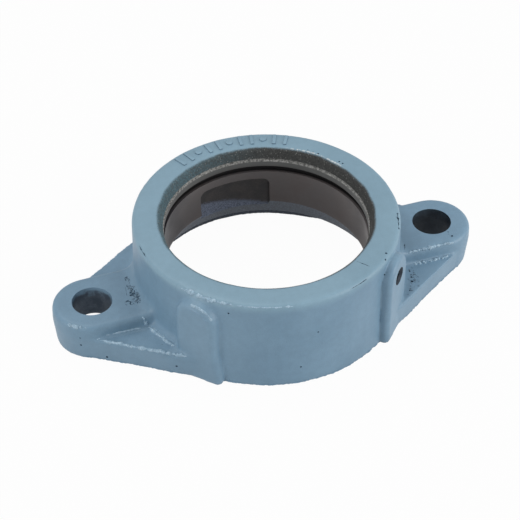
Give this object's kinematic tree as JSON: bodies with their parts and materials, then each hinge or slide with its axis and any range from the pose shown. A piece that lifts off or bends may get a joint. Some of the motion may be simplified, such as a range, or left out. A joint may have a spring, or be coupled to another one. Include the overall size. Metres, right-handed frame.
{
  "type": "flanged bearing housing",
  "caption": "Painted cast iron flanged housing with a spherical bearing seat in a thick ring, bolt lugs on opposite sides and a grease boss on the ring's wall.",
  "frame": {"origin": "on the bore's axis, in the plane of the mounting face", "axes": "+Z along the bore's axis, out of the front face; +X along the line through the bolt holes, towards the lug beside the drilled grease boss; +Y away from the grease bosses"},
  "size_m": [0.1816, 0.1096, 0.0416],
  "materials": {
    "painted_casting": "blue-grey paint over a sand-cast surface, bare turned seat and drilled holes"
  },
  "bodies": {
    "root": {"housing": "painted_casting"}
  },
  "joints": []
}
